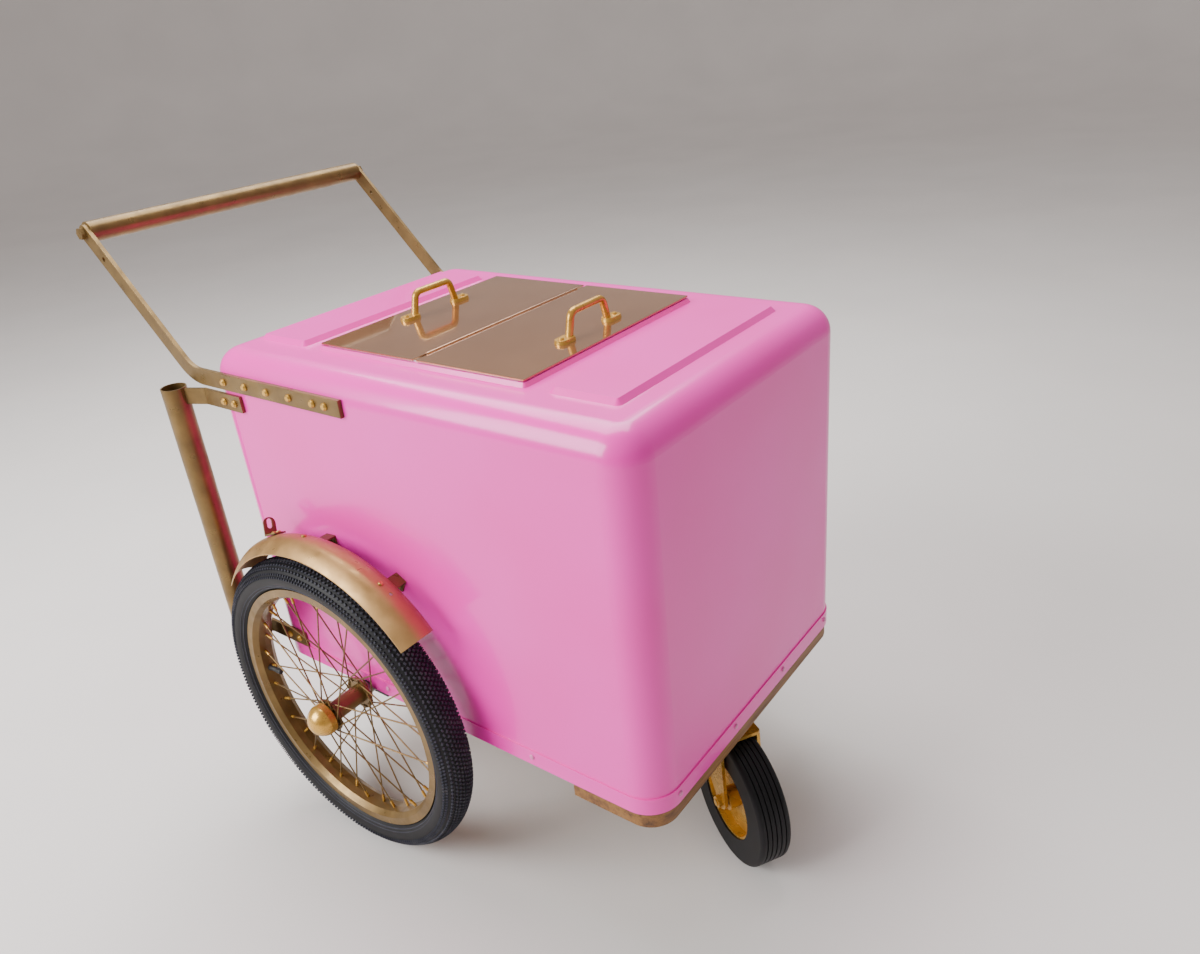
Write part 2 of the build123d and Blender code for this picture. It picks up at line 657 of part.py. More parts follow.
with BuildPart() as axle:
    with BuildSketch(axle_plane):
        Circle(axle_diameter / 2)
    extrude(amount=axle_end_y, both=True)
    chamfer(axle.edges().filter_by(GeomType.CIRCLE), 1)
save_part(axle, "axle")

with BuildPart() as axle_nuts:
    spacer_start = rail_y + rail_size / 2
    for sign in (-1, 1):
        with BuildSketch(axle_plane.offset(sign * spacer_start)):
            Circle(axle_spacer_diameter / 2)
            Circle(axle_diameter / 2, mode=Mode.SUBTRACT)
        extrude(amount=sign * (hub_inner_y - side_gap - spacer_start))
    for sign in (-1, 1):
        with BuildSketch(axle_plane.offset(sign * (hub_outer_y + side_gap))):
            RegularPolygon(axle_nut_flats / 2, 6, major_radius=False)
            Circle(axle_diameter / 2, mode=Mode.SUBTRACT)
        extrude(amount=sign * axle_nut_thickness)
save_part(axle_nuts, "axle_nuts_and_spacers")


def spoke_path(flange_side, index, sign):
    """The two ends of a spoke: at its hub hole, beside the flange, and at the rim."""
    per_flange = spoke_count // 2
    step = 360 / per_flange
    hub_angle = index * step + (step / 2 if flange_side > 0 else 0)
    lean = spoke_crossings * step * (1 if index % 2 == 0 else -1)
    rim_angle = hub_angle + lean
    outside = 1 if index % 2 == 0 else -1
    flange_y = flange_side * hub_flange_spacing / 2
    clear = hub_flange_thickness / 2 + spoke_diameter / 2 + (1.5 if outside > 0 else 0.3)
    start_y = flange_y + flange_side * outside * clear
    hub_radius = spoke_circle_diameter / 2
    rim_end = rim_radius - rim_depth - 0.4
    start = Vector(wheel_x + hub_radius * cos(radians(hub_angle)), sign * (wheel_y + start_y),
                   wheel_z + hub_radius * sin(radians(hub_angle)))
    end = Vector(wheel_x + rim_end * cos(radians(rim_angle)), sign * (wheel_y + flange_side * 2.5),
                 wheel_z + rim_end * sin(radians(rim_angle)))
    hub_hole = Vector(start.X, sign * (wheel_y + flange_y - flange_side * outside
                                       * (hub_flange_thickness / 2 + 1.2)), start.Z)
    return hub_hole, start, end


def dome_arc(radius, base, height):
    """A dome's half outline, from its top on the axis to its rim at the given base."""
    ball = (radius ** 2 + height ** 2) / (2 * height)
    half_turn = asin(radius / ball) / 2
    middle = (ball * sin(half_turn), base + height - ball + ball * cos(half_turn))
    return ThreePointArc((0, base + height), middle, (radius, base))


def build_wheel(side, sign):
    """One spoked wheel with its bearings and cap; sign is -1 on the right."""
    # sketch plane: x is the distance from the axle, y the distance outwards from mid-wheel
    plane = Plane(origin=(wheel_x, sign * wheel_y, wheel_z), x_dir=(1, 0, 0), z_dir=(0, 0, sign))
    half = rim_width / 2
    bead = half - rim_wall - 0.1
    rim_inner = rim_radius - rim_depth

    with BuildPart() as rim:
        with BuildSketch(plane):
            with BuildLine():
                Polyline((rim_radius, -half), (rim_inner + 7, -half), (rim_inner + 1, -half + 8),
                         (rim_inner, 0), (rim_inner + 1, half - 8), (rim_inner + 7, half),
                         (rim_radius, half), (rim_radius, half - rim_wall),
                         (rim_radius - 7, half - rim_wall), (rim_radius - rim_well_depth, half - 9),
                         (rim_radius - rim_well_depth, -half + 9),
                         (rim_radius - 7, -half + rim_wall), (rim_radius, -half + rim_wall),
                         close=True)
            make_face()
        revolve(axis=wheel_axis)
    save_part(rim, f"{side}_wheel_rim")

    bead_radius = rim_radius - 6.5
    with BuildPart() as tyre:
        with BuildSketch(plane):
            with BuildLine():
                bulge_radius = (tyre_radius + rim_radius) / 2 - 2
                shoulder = (tyre_radius - 9, tyre_width / 2 - 6)
                inner_bulge = tyre_width / 2 - tyre_wall
                inner_shoulder = (tyre_radius - 9 - tyre_wall * 0.8, tyre_width / 2 - 6 - tyre_wall * 0.7)
                for way in (-1, 1):
                    Line((bead_radius, way * bead), (rim_radius + 0.5, way * bead))
                    ThreePointArc((rim_radius + 0.5, way * bead), (bulge_radius, way * tyre_width / 2),
                                  (shoulder[0], way * shoulder[1]))
                    Line((bead_radius, way * bead), (bead_radius, way * (bead - tyre_wall)))
                    Line((bead_radius, way * (bead - tyre_wall)), (rim_radius + 1, way * (bead - tyre_wall)))
                    ThreePointArc((rim_radius + 1, way * (bead - tyre_wall)),
                                  (bulge_radius, way * inner_bulge),
                                  (inner_shoulder[0], way * inner_shoulder[1]))
                ThreePointArc((shoulder[0], -shoulder[1]), (tyre_radius, 0), shoulder)
                ThreePointArc((inner_shoulder[0], -inner_shoulder[1]), (tyre_radius - tyre_wall, 0),
                              inner_shoulder)
            make_face()
        revolve(axis=wheel_axis)
    save_part(tyre, f"{side}_wheel_tyre")

    flange_y = hub_flange_spacing / 2
    with BuildPart() as hub:
        with BuildSketch(plane):
            with Locations((hub_barrel_diameter / 4, 0)):
                Rectangle(hub_barrel_diameter / 2, hub_flange_spacing)
            with Locations((hub_flange_diameter / 4, flange_y), (hub_flange_diameter / 4, -flange_y)):
                Rectangle(hub_flange_diameter / 2, hub_flange_thickness)
            end_y = (hub_length / 2 + flange_y) / 2
            with Locations((hub_end_diameter / 4, end_y), (hub_end_diameter / 4, -end_y)):
                Rectangle(hub_end_diameter / 2, hub_length / 2 - flange_y)
            with Locations((hub_bore_diameter / 4, 0)):
                Rectangle(hub_bore_diameter / 2, hub_length, mode=Mode.SUBTRACT)
            pocket_y = (hub_length - bearing_width) / 2
            with Locations((bearing_diameter / 4, pocket_y), (bearing_diameter / 4, -pocket_y)):
                Rectangle(bearing_diameter / 2, bearing_width, mode=Mode.SUBTRACT)
        revolve(axis=wheel_axis)
        with BuildSketch(axle_plane.offset(sign * hub_inner_y)):
            for shift in (0, 180 / (spoke_count // 2)):
                with PolarLocations(spoke_circle_diameter / 2, spoke_count // 2, start_angle=shift):
                    Circle(spoke_diameter / 2 + bolt_hole_gap)
        extrude(amount=sign * hub_length, mode=Mode.SUBTRACT)
    save_part(hub, f"{side}_wheel_hub")

    with BuildPart() as bearings:
        with BuildSketch(plane):
            middle = (bearing_diameter / 2 + axle_diameter / 2 + running_fit) / 2
            thick = bearing_diameter / 2 - axle_diameter / 2 - running_fit
            with Locations((middle, pocket_y), (middle, -pocket_y)):
                Rectangle(thick, bearing_width)
        revolve(axis=wheel_axis)
    save_part(bearings, f"{side}_wheel_bearings")

    cap_base = hub_length / 2
    cap_radius = hub_cap_diameter / 2
    cap_mouth = hub_end_diameter / 2 - 2
    dome_base = cap_base + hub_cap_straight
    with BuildPart() as cap:
        with BuildSketch(plane):
            with BuildLine():
                Polyline((0, dome_base + hub_cap_length - hub_cap_straight - hub_cap_wall),
                         (0, dome_base + hub_cap_length - hub_cap_straight))
                dome_arc(cap_radius, dome_base, hub_cap_length - hub_cap_straight)
                Polyline((cap_radius, dome_base), (cap_radius, cap_base), (cap_mouth, cap_base),
                         (cap_mouth, cap_base + hub_cap_wall),
                         (cap_radius - hub_cap_wall, cap_base + hub_cap_wall),
                         (cap_radius - hub_cap_wall, dome_base))
                dome_arc(cap_radius - hub_cap_wall, dome_base,
                         hub_cap_length - hub_cap_straight - hub_cap_wall)
            make_face()
        revolve(axis=wheel_axis)
    save_part(cap, f"{side}_hub_cap")

    with BuildPart() as spokes:
        for flange_side in (-1, 1):
            for index in range(spoke_count // 2):
                hub_hole, start, end = spoke_path(flange_side, index, sign)
                hub_end = Plane(origin=hub_hole, z_dir=start - hub_hole)
                with BuildLine():
                    FilletPolyline(hub_hole, start, end, radius=spoke_bend_radius)
                with BuildSketch(hub_end):
                    Circle(spoke_diameter / 2)
                sweep()
                with BuildSketch(hub_end):
                    Circle(spoke_head_diameter / 2)
                extrude(amount=-spoke_head_thickness)
    save_part(spokes, f"{side}_wheel_spokes")

    with BuildPart() as nipples:
        for flange_side in (-1, 1):
            for index in range(spoke_count // 2):
                _, start, end = spoke_path(flange_side, index, sign)
                with BuildSketch(Plane(origin=end, z_dir=start - end)):
                    Circle(nipple_diameter / 2)
                    Circle(spoke_diameter / 2, mode=Mode.SUBTRACT)
                extrude(amount=nipple_length)
    save_part(nipples, f"{side}_wheel_nipples")


def fender_plane(angle, sign, radius=0.0):
    """A plane through the fender's centre at an angle; x runs outwards, y away from the body."""
    way = Vector(cos(radians(angle)), 0, sin(radians(angle)))
    origin = Vector(fender_x, sign * wheel_y, fender_z) + way * radius
    across = Vector(0, sign, 0)
    return Plane(origin=origin, x_dir=way, z_dir=way.cross(across))


fender_rise = fender_crown_radius - fender_edge_radius


def fender_surface(offset, depth=0.0):
    """Distance from the centre to the fender's skin, which is a parabola across its width."""
    return fender_crown_radius - depth - fender_rise * (offset / fender_half_width) ** 2


def fender_skin_plane(angle, offset, sign):
    """A plane on the fender's outer skin; z points out of it, x forwards along it."""
    way = Vector(cos(radians(angle)), 0, sin(radians(angle)))
    tilt = atan(2 * fender_rise * offset / fender_half_width ** 2)
    normal = way * cos(tilt) + Vector(0, -sign * sin(tilt), 0)
    origin = Vector(fender_x, sign * (wheel_y - offset), fender_z) + way * fender_surface(offset)
    return Plane(origin=origin, x_dir=(way.Z, 0, -way.X), z_dir=normal)


def fender_screw_planes(sign):
    """Planes on the fender's outer skin at its two bracket screws."""
    return [fender_skin_plane(angle, fender_screw_offset, sign) for angle in fender_bracket_angles]


def stay_foot_plane(sign):
    """The underside of the slotted tab's foot, just clear of the fender's skin."""
    turn = fender_stay_foot / 2 / fender_crown_radius
    return fender_skin_plane(fender_stay_angle - degrees(turn), fender_stay_offset,
                             sign).offset(side_gap)


def stay_screw_planes(sign):
    """Planes on top of the slotted tab's foot, at its two screws."""
    foot = stay_foot_plane(sign)
    return [Plane(origin=foot.from_local_coords((place - fender_stay_foot / 2, 0,
                                                 fender_bracket_thickness)), z_dir=foot.z_dir)
            for place in fender_stay_screws]


def build_fender(side, sign):
    """A mudguard over one wheel."""
    inner_edge = fender_edge_radius - fender_thickness
    inner_crown = fender_crown_radius - fender_thickness
    with BuildPart() as fender:
        with BuildSketch(fender_plane(fender_front_angle, sign)):
            with BuildLine():
                Bezier((fender_edge_radius, -fender_half_width),
                       (fender_crown_radius + fender_rise, 0), (fender_edge_radius, fender_half_width))
                Line((fender_edge_radius, fender_half_width), (inner_edge, fender_half_width))
                Bezier((inner_edge, fender_half_width), (inner_crown + fender_rise, 0),
                       (inner_edge, -fender_half_width))
                Line((inner_edge, -fender_half_width), (fender_edge_radius, -fender_half_width))
            make_face()
        revolve(axis=Axis((fender_x, 0, fender_z), (0, -1, 0)),
                revolution_arc=fender_rear_angle - fender_front_angle)
        cut_holes(fender_screw_planes(sign) + stay_screw_planes(sign), 4 + 2 * bolt_hole_gap, 6)
        spare = fender_plane(fender_spare_hole_angle, sign, fender_crown_radius)
        cut_holes([Plane(origin=spare.origin - Vector(0, sign * fender_screw_offset, 0),
                         z_dir=spare.x_dir)], 5.2, 8)
    save_part(fender, f"{side}_fender")


for side, sign in (("right", -1), ("left", 1)):
    build_wheel(side, sign)
    build_fender(side, sign)

# in the bracket sketches y is the distance away from the body, so the body is at negative y
bracket_depth = fender_thickness + fender_bracket_thickness / 2 + 0.35
foot_points = [(fender_surface(offset, bracket_depth), -offset)
               for offset in (fender_screw_offset - fender_foot_screw_step, fender_screw_offset,
                              fender_screw_offset + fender_foot_tip_step)]
foot_low = fender_foot_radius + fender_bracket_thickness / 2
bracket_wall = -(wheel_y - shell_side_y - fender_bracket_thickness / 2)
bracket_leg = 21.0
stay_slot_length = 15.0
stay_slot_width = 8.0

with BuildPart() as fender_brackets:
    for sign in (-1, 1):
        for angle in fender_bracket_angles:
            with BuildSketch(fender_plane(angle, sign).offset(-fender_bracket_width / 2)):
                with BuildLine():
                    Polyline(*foot_points, (foot_low, -fender_half_width), (foot_low, bracket_wall),
                             (foot_low - bracket_leg, bracket_wall))
                trace(line_width=fender_bracket_thickness)
            extrude(amount=fender_bracket_width)
        foot = stay_foot_plane(sign)
        with BuildSketch(foot):
            RectangleRounded(fender_stay_foot, fender_stay_width, 2)
        extrude(amount=fender_bracket_thickness)
        tab = Plane(origin=foot.from_local_coords((-fender_stay_foot / 2, 0, 0)),
                    x_dir=foot.z_dir, z_dir=foot.x_dir)
        tab_end = fender_stay_height - fender_stay_width / 2
        with BuildSketch(tab):
            with Locations((tab_end / 2, 0)):
                Rectangle(tab_end, fender_stay_width)
            with Locations((tab_end, 0)):
                Circle(fender_stay_width / 2)
                SlotOverall(stay_slot_length, stay_slot_width, mode=Mode.SUBTRACT)
        extrude(amount=fender_bracket_thickness)
        cut_holes(stay_screw_planes(sign), 4 + 2 * bolt_hole_gap, 6)
        cut_holes(fender_bolt_planes[sign], arm_bolt_diameter + 2 * bolt_hole_gap, 8)
        cut_holes(fender_screw_planes(sign), 4 + 2 * bolt_hole_gap, 12)
save_part(fender_brackets, "fender_brackets")

body_screw_planes = skirt_planes + [plane for sign in (-1, 1) for plane in
                                    fender_screw_planes(sign) + stay_screw_planes(sign)]
body_screws = dome_bolts(body_screw_planes, skirt_screw_diameter, skirt_screw_reach,
                         skirt_screw_head_diameter, 2.4)
save_part(body_screws, "body_screws")

# ---- Caster --------------------------------------------------------------------------------
caster_forward = Vector(cos(swivel), sin(swivel), 0)
caster_side = Vector(-sin(swivel), cos(swivel), 0)
caster_centre = Vector(kingpin_x, 0, caster_radius) + caster_forward * caster_trail
caster_axis = Axis(caster_centre, caster_side)
# sketch plane for turned parts: x is the distance from the axle, y the distance to the left
caster_section = Plane(origin=caster_centre, x_dir=caster_forward, z_dir=(0, 0, 1))
kingpin_axis = Axis((kingpin_x, 0, 0), (0, 0, 1))
crown_bottom_z = 2 * caster_radius + caster_crown_clearance
crown_top_z = crown_bottom_z + caster_fork_thickness
race_middle_z = (plate_bottom_z + crown_top_z) / 2
fork_inner_y = caster_width / 2 + caster_fork_gap


def swivel_plane(z):
    """A level plane at the kingpin, with x along the caster's forward direction."""
    return Plane(origin=(kingpin_x, 0, z), x_dir=caster_forward, z_dir=(0, 0, 1))


def race_ring(low_z, high_z, bore, groove):
    """A race pressed from its plate: a ring about the kingpin with a ball groove in one face."""
    with BuildPart() as ring:
        with BuildSketch(Plane.XY.offset(low_z)):
            with Locations((kingpin_x, 0)):
                Circle(race_diameter / 2)
                Circle(bore, mode=Mode.SUBTRACT)
        extrude(amount=high_z - low_z)
        with BuildSketch(Plane(origin=(kingpin_x, 0, race_middle_z), x_dir=(1, 0, 0), z_dir=(0, -1, 0))):
            with Locations((race_pitch_diameter / 2, 0)):
                Circle(groove)
        revolve(axis=kingpin_axis, mode=Mode.SUBTRACT)
    return ring.part


upper_race = race_ring(race_middle_z + race_gap / 2, plate_bottom_z, kingpin_diameter / 2,
                       ball_diameter / 2 + ball_clearance)
lower_race = race_ring(crown_top_z, race_middle_z - race_gap / 2, kingpin_diameter / 2 + 2,
                       ball_diameter / 2 + 0.02)

with BuildPart() as caster_plate:
    with BuildSketch(Plane.XY.offset(plate_bottom_z)):
        with Locations((kingpin_x, 0)):
            RectangleRounded(caster_plate_length, caster_plate_width, 8)
            with GridLocations(caster_bolt_spacing_x, caster_bolt_spacing_y, 2, 2):
                Circle(caster_bolt_diameter / 2 + bolt_hole_gap, mode=Mode.SUBTRACT)
            Circle(kingpin_diameter / 2, mode=Mode.SUBTRACT)
    extrude(amount=caster_plate_thickness)
    add(upper_race)
save_part(caster_plate, "caster_top_plate")

with BuildPart() as caster_balls:
    with Locations((kingpin_x, 0, race_middle_z)):
        with PolarLocations(race_pitch_diameter / 2, ball_count):
            Sphere(ball_diameter / 2)
save_part(caster_balls, "caster_bearing_balls")

with BuildPart() as kingpin:
    nut_height = 8.0
    pin_low_z = crown_bottom_z - nut_height - 2
    with BuildSketch(Plane.XY.offset(pin_low_z)):
        with Locations((kingpin_x, 0)):
            Circle(kingpin_diameter / 2)
    extrude(amount=board_bottom_z - pin_low_z)
    with BuildSketch(Plane.XY.offset(crown_bottom_z - side_gap)):
        with Locations((kingpin_x, 0)):
            RegularPolygon(9, 6, major_radius=False)
    extrude(amount=-nut_height)
save_part(kingpin, "caster_kingpin")

with BuildPart() as caster_fork:
    with BuildSketch(swivel_plane(crown_bottom_z)):
        with Locations(((caster_trail - 22) / 2, 0)):
            RectangleRounded(caster_fork_top_width + caster_trail - 22 + 12,
                             2 * (fork_inner_y + caster_fork_thickness), 6)
        Circle(kingpin_diameter / 2 + running_fit, mode=Mode.SUBTRACT)
    extrude(amount=caster_fork_thickness)
    for blade in (-1, 1):
        blade_plane = Plane(origin=Vector(kingpin_x, 0, 0) + caster_side * blade * fork_inner_y,
                            x_dir=caster_forward, z_dir=caster_side * blade)
        # this plane's y runs up on the right-hand blade and down on the left-hand one
        up = -blade
        with BuildSketch(blade_plane):
            top = crown_top_z * up
            shoulder_x = (caster_trail - 22) / 2 + (caster_trail - 22 + 12 + caster_fork_top_width) / 2 - 4
            with BuildLine():
                Polyline((-caster_fork_top_width / 2 - 2, top), (shoulder_x, top),
                         (caster_trail + caster_fork_bottom_width / 2, caster_radius * up),
                         (caster_trail - caster_fork_bottom_width / 2, caster_radius * up), close=True)
            make_face()
            with Locations((caster_trail, caster_radius * up)):
                Circle(caster_fork_bottom_width / 2)
                Circle(caster_axle_diameter / 2, mode=Mode.SUBTRACT)
        extrude(amount=caster_fork_thickness)
    add(lower_race)
save_part(caster_fork, "caster_fork")

caster_axle_half = fork_inner_y + caster_fork_thickness
caster_axle_plane = Plane(origin=caster_centre, x_dir=caster_forward, z_dir=caster_side)
with BuildPart() as caster_axle:
    with BuildSketch(caster_axle_plane):
        Circle(caster_axle_diameter / 2)
    extrude(amount=caster_axle_half + 9, both=True)
    for end in (-1, 1):
        with BuildSketch(caster_axle_plane.offset(end * caster_axle_half)):
            RegularPolygon(8.5, 6, major_radius=False)
        extrude(amount=end * 7)
    spacer_length = caster_fork_gap - side_gap
    for end in (-1, 1):
        with BuildSketch(caster_axle_plane.offset(end * fork_inner_y)):
            Circle(8)
            Circle(caster_axle_diameter / 2, mode=Mode.SUBTRACT)
        extrude(amount=-end * spacer_length)
save_part(caster_axle, "caster_axle_bolt")

bush_radius = caster_axle_diameter / 2 + 4
with BuildPart() as caster_bush:
    with BuildSketch(caster_axle_plane.offset(-caster_width / 2)):
        Circle(bush_radius)
        Circle(caster_axle_diameter / 2 + running_fit, mode=Mode.SUBTRACT)
    extrude(amount=caster_width)
save_part(caster_bush, "caster_wheel_bush")

with BuildPart() as caster_wheel_rim:
    half = caster_width / 2
    lip = 3.0
    with BuildSketch(caster_section):
        with Locations(((bush_radius + caster_hub_radius) / 2, 0)):
            Rectangle(caster_hub_radius - bush_radius, caster_width)
        with Locations(((bush_radius + caster_rim_radius) / 2, 0)):
            Rectangle(caster_rim_radius - bush_radius, caster_disc_thickness)
        with Locations((caster_rim_radius - lip / 2, 0)):
            Rectangle(lip, caster_width - 6)
    revolve(axis=caster_axis)
save_part(caster_wheel_rim, "caster_wheel_rim")

with BuildPart() as caster_tyre:
    with BuildSketch(caster_section) as tyre_section:
        middle = (caster_rim_radius + caster_radius) / 2
        with Locations((middle, 0)):
            Rectangle(caster_radius - caster_rim_radius, caster_width)
        fillet(tyre_section.vertices().group_by(Axis.X)[-1], caster_shoulder)
        groove_pitch = (caster_width - 2 * caster_shoulder) / 5
        with Locations(*[(caster_radius, groove_pitch * (k - 2)) for k in range(5)]):
            Rectangle(6, 1.8, mode=Mode.SUBTRACT)
    revolve(axis=caster_axis)
save_part(caster_tyre, "caster_wheel_tyre")

# ---- Push handle ---------------------------------------------------------------------------
grip_point = (grip_x, grip_z)
for side, sign in (("right", -1), ("left", 1)):
    with BuildPart() as arm:
        # the sketch plane faces -Y, so its x is the cart's x and its y is the cart's z
        with BuildSketch(Plane.XZ.offset(-sign * shell_side_y)):
            with BuildLine():
                FilletPolyline(grip_point, (arm_bend_x, arm_z),
                               (rear_face_x + arm_front_from_rear, arm_z), radius=arm_bend_radius)
            trace(line_width=arm_width)
            with Locations(grip_point):
                Circle(arm_width / 2)
            with Locations(grip_point):
                Circle(tie_rod_diameter / 2 + bolt_hole_gap, mode=Mode.SUBTRACT)
            spare_x = grip_x + arm_spare_hole_distance * cos(radians(arm_slope))
            spare_z = grip_z - arm_spare_hole_distance * sin(radians(arm_slope))
            with Locations((spare_x, spare_z)):
                Circle(arm_spare_hole_diameter / 2, mode=Mode.SUBTRACT)
        extrude(amount=-sign * arm_thickness)
        cut_holes(arm_bolt_planes[sign], arm_bolt_diameter + 2 * bolt_hole_gap, 2 * arm_thickness)
        chamfer(arm.faces().sort_by(Axis.Y)[0 if sign < 0 else -1].outer_wire().edges(), 0.6)
    save_part(arm, f"handle_arm_{side}")


grip_plane = Plane(origin=(grip_x, 0, grip_z), x_dir=(1, 0, 0), z_dir=(0, 1, 0))
grip_half = shell_side_y - side_gap / 3
with BuildPart() as grip_tube:
    with BuildSketch(grip_plane):
        Circle(grip_diameter / 2)
        Circle(grip_diameter / 2 - grip_wall, mode=Mode.SUBTRACT)
    extrude(amount=grip_half, both=True)
save_part(grip_tube, "handle_grip_tube")

arm_outer_y = shell_side_y + arm_thickness
with BuildPart() as tie_rod:
    with BuildSketch(grip_plane):
        Circle(tie_rod_diameter / 2)
    extrude(amount=arm_outer_y + 3, both=True)
    for end in (-1, 1):
        with BuildSketch(grip_plane.offset(end * arm_outer_y)):
            RegularPolygon(8, 6, major_radius=False)
        extrude(amount=end * 7)
        with BuildSketch(grip_plane.offset(end * grip_half)):
            Circle(grip_diameter / 2 - grip_wall)
            Circle(tie_rod_diameter / 2, mode=Mode.SUBTRACT)
        extrude(amount=-end * grip_plug_length)
save_part(tie_rod, "handle_tie_rod")

# ---- Umbrella tube and its straps ----------------------------------------------------------
with BuildPart() as umbrella_tube:
    with BuildSketch(Plane.XY.offset(tube_bottom_z)):
        with Locations((tube_x, -tube_side)):
            Circle(tube_diameter / 2)
            Circle(tube_diameter / 2 - tube_wall, mode=Mode.SUBTRACT)
    extrude(amount=tube_top_z - tube_bottom_z)
save_part(umbrella_tube, "umbrella_tube")

with BuildPart() as tube_foot:
    with BuildSketch(Plane.XY.offset(tube_bottom_z - tube_tip_height)):
        with Locations((tube_x, -tube_side)):
            Circle(tube_diameter / 2 + tube_cup_wall)
    extrude(amount=tube_tip_height + tube_cup_depth)
    with BuildSketch(Plane.XY.offset(tube_bottom_z)):
        with Locations((tube_x, -tube_side)):
            Circle(tube_diameter / 2)
    extrude(amount=tube_cup_depth, mode=Mode.SUBTRACT)
    # a dished floor, so the tube stands on its outer edge and a pole's end hangs clear
    with BuildSketch(Plane.XY.offset(tube_bottom_z - 1)):
        with Locations((tube_x, -tube_side)):
            Circle(tube_diameter / 2 - tube_wall / 2)
    extrude(amount=1, mode=Mode.SUBTRACT)
    chamfer(tube_foot.faces().sort_by(Axis.Z)[0].edges(), 3)
save_part(tube_foot, "umbrella_tube_foot")

strap_y = -(shell_side_y + strap_thickness / 2)
with BuildPart() as straps:
    for z in strap_heights:
        with BuildSketch(Plane.XY.offset(z - strap_width / 2)):
            with BuildLine():
                Polyline((tube_x, -tube_side), (rear_face_x - strap_kink_from_rear, strap_y),
                         (rear_face_x + strap_front_from_rear, strap_y))
            trace(line_width=strap_thickness)
            with Locations((tube_x, -tube_side)):
                Circle(tube_diameter / 2, mode=Mode.SUBTRACT)
        extrude(amount=strap_width)
    cut_holes(strap_bolt_planes, arm_bolt_diameter + 2 * bolt_hole_gap, 3 * strap_thickness)
save_part(straps, "umbrella_straps")

body_bolt_planes = strap_bolt_planes + [plane for planes in (arm_bolt_planes, fender_bolt_planes)
                                        for sign in (-1, 1) for plane in planes[sign]]
body_bolts = dome_bolts(body_bolt_planes, arm_bolt_diameter, arm_thickness + shell_wall + 4,
                        arm_bolt_head_diameter, arm_bolt_head_height)
save_part(body_bolts, "body_bolts")

print("rear face x", round(rear_face_x, 2), "kingpin x", round(kingpin_x, 2),
      "wheel x", round(wheel_x, 2), "seam x", round(seam_x, 2), "lid top z", round(lid_top_z, 2))
print("tub", round(tub_length, 2), round(tub_width, 2), round(tub_floor_z, 2))
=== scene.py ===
# %% [markdown]
# # A pink push cart for ice cream, given its looks
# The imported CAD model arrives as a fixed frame: every bolt, spoke and panel is already in
# place, in metres, with +X forward, +Y to the cart's left and +Z up. This lesson adds what a
# CAD model leaves out: paint, rubber, tread, tyre valves, and the light to see them by.

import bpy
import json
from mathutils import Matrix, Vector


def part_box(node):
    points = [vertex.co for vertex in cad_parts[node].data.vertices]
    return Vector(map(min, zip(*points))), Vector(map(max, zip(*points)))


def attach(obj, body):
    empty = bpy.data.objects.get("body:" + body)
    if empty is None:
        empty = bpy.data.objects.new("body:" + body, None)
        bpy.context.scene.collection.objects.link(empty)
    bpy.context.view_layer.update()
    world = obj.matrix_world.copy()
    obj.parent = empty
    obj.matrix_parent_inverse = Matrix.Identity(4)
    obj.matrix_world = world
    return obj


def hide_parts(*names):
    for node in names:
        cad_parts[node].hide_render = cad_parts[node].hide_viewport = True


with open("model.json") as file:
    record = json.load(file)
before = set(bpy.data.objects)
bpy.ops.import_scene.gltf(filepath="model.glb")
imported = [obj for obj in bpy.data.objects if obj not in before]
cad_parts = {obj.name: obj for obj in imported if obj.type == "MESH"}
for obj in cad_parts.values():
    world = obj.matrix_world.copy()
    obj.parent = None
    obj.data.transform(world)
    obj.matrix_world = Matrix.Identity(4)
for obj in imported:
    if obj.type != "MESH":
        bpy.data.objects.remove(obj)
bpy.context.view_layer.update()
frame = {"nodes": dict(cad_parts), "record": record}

import json
from math import atan2, cos, pi, radians, sin

import bpy
from mathutils import Matrix, Vector

nodes = frame["nodes"]
print("CAD nodes:", len(nodes))

# %% [markdown]
# ## Helpers for materials
# A colour picked from a chart is an sRGB hex value, while Blender's shaders want linear light,
# so one function turns one into the other. A second function adds a node with its settings and
# its links. A material is then a short list of such calls, read from the pattern to the shader.

# %% Colour and node helpers
MM = 0.001


def linear(code):
    """An sRGB hex colour as linear red, green, blue and alpha."""
    channels = [int(code[i:i + 2], 16) / 255 for i in (1, 3, 5)]
    return [c / 12.92 if c <= 0.04045 else ((c + 0.055) / 1.055) ** 2.4 for c in channels] + [1.0]


def add_node(material, kind, settings=None, inputs=None):
    """A shader node with its settings; each input is given a value or another node's output."""
    made = material.node_tree.nodes.new(kind)
    for name, value in (settings or {}).items():
        setattr(made, name, value)
    for name, value in (inputs or {}).items():
        if isinstance(value, bpy.types.NodeSocket):
            material.node_tree.links.new(value, made.inputs[name])
        else:
            made.inputs[name].default_value = value
    return made


def new_material(name, **sockets):
    """A material with only its Principled shader, with these values on the shader's sockets."""
    material = bpy.data.materials.new(name)
    material.use_nodes = True
    shader = material.node_tree.nodes["Principled BSDF"]
    for socket, value in sockets.items():
        shader.inputs[socket.replace("_", " ")].default_value = value
    return material, shader


def object_place(material):
    """Where a point is on the object, in metres, which is what every pattern reads."""
    return add_node(material, "ShaderNodeTexCoord").outputs["Object"]


def noise(material, size, detail=2.0, roughness=0.5, place=None):
    """Soft noise whose lumps are about this size, in metres, from 0 to 1."""
    made = add_node(material, "ShaderNodeTexNoise", inputs={
        "Vector": place or object_place(material), "Scale": 1 / size, "Detail": detail,
        "Roughness": roughness})
    return made.outputs["Fac"]


